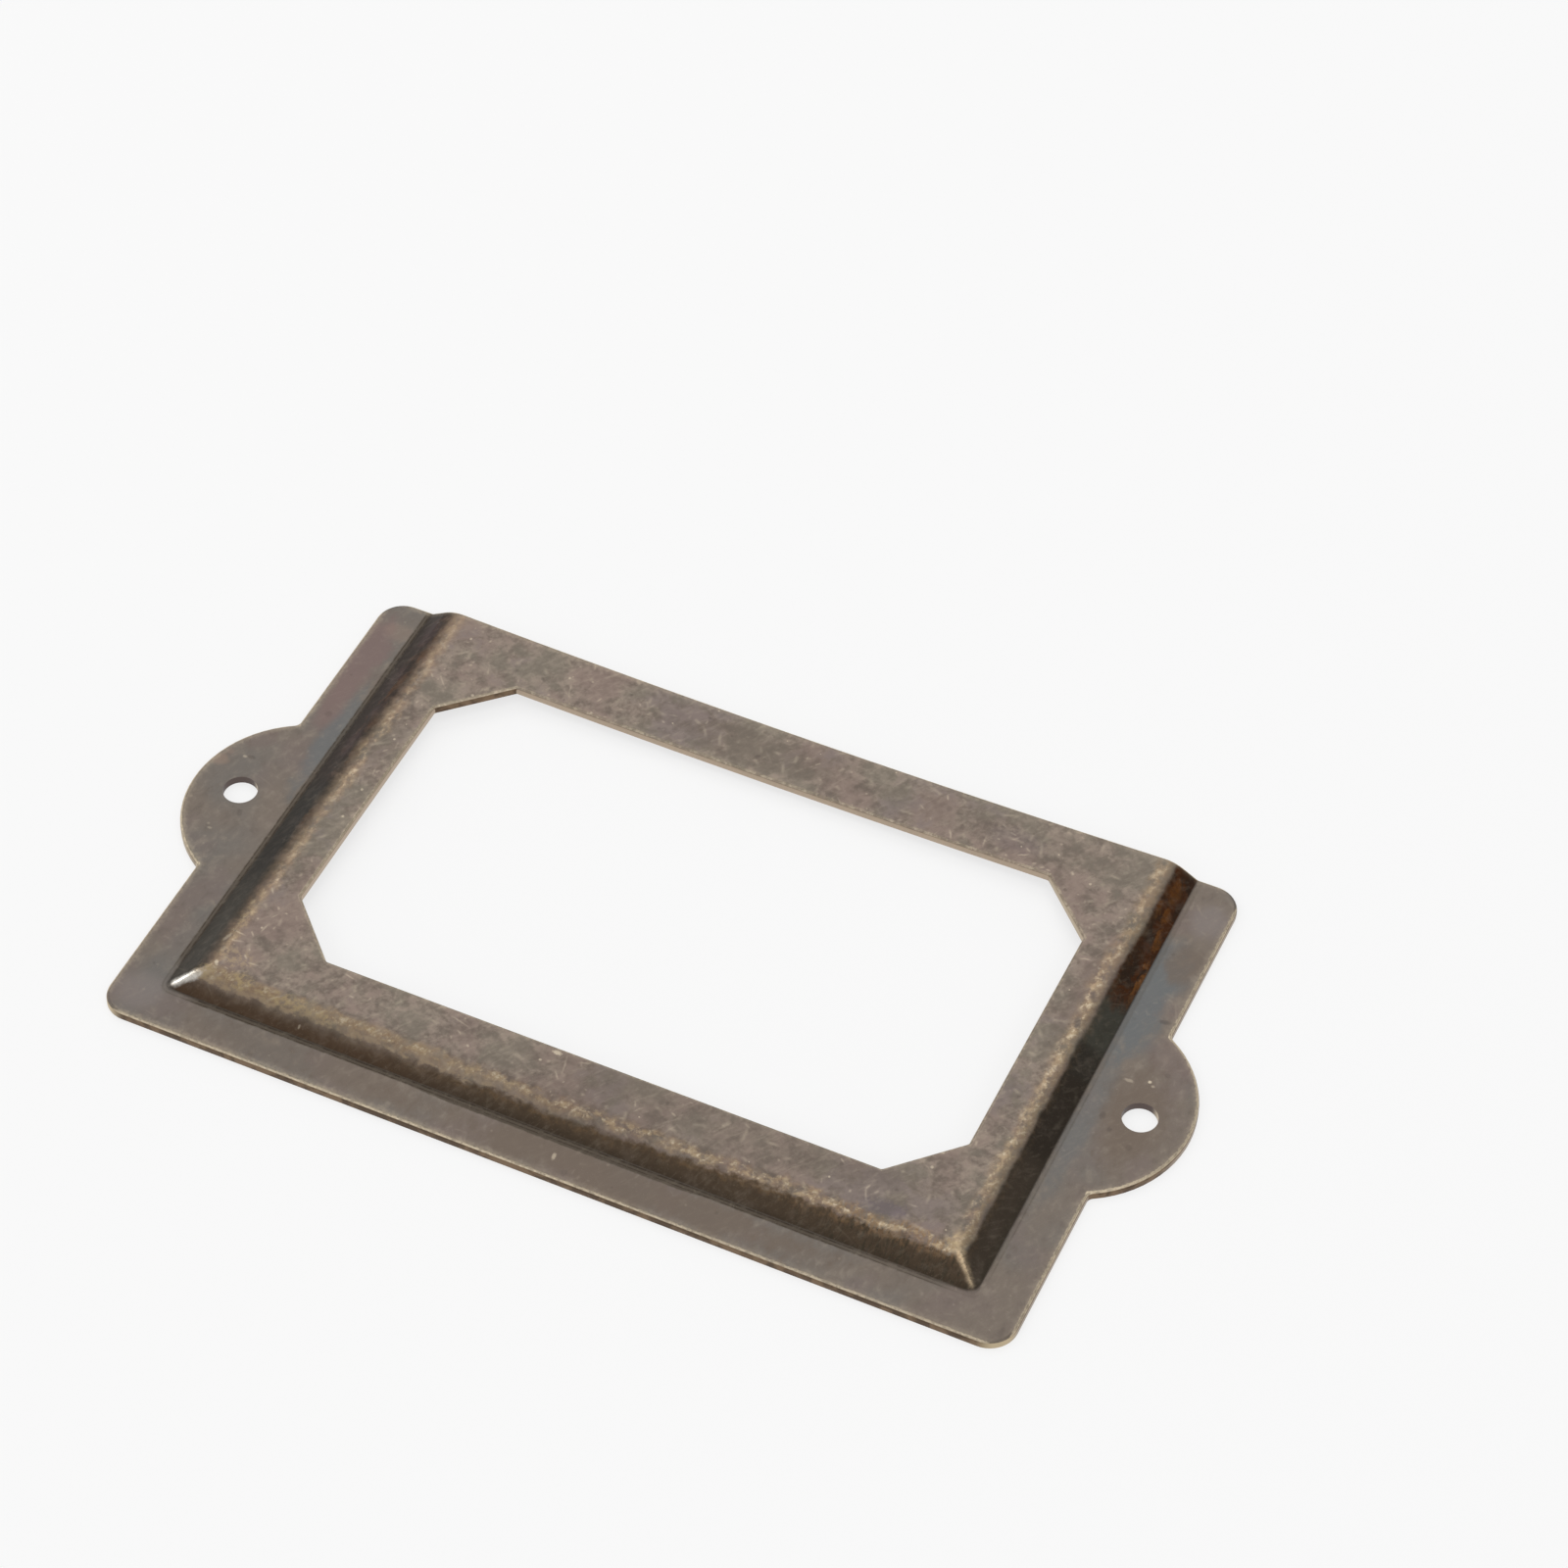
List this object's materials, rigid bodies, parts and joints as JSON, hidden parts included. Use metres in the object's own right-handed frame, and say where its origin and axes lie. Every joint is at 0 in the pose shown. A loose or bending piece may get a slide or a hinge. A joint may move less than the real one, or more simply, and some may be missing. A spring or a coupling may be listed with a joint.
{
  "type": "label frame",
  "caption": "Pressed sheet label frame: flat flange with a round screw ear at each end, and a raised panel with an octagonal window, open along one long edge for the card.",
  "frame": {"origin": "middle of the outline on the back face, which lies against the drawer front", "axes": "+Z out of the drawer front, +X along the long side between the screw ears, +Y towards the long edge that is open for the card"},
  "size_m": [0.1128, 0.0634, 0.0026],
  "materials": {
    "antique_brass": "antiqued brass: grey-brown toned lacquer, rubbed back to yellow brass on the upper bends and edges"
  },
  "bodies": {
    "root": {"label_frame": "antique_brass"}
  },
  "joints": []
}
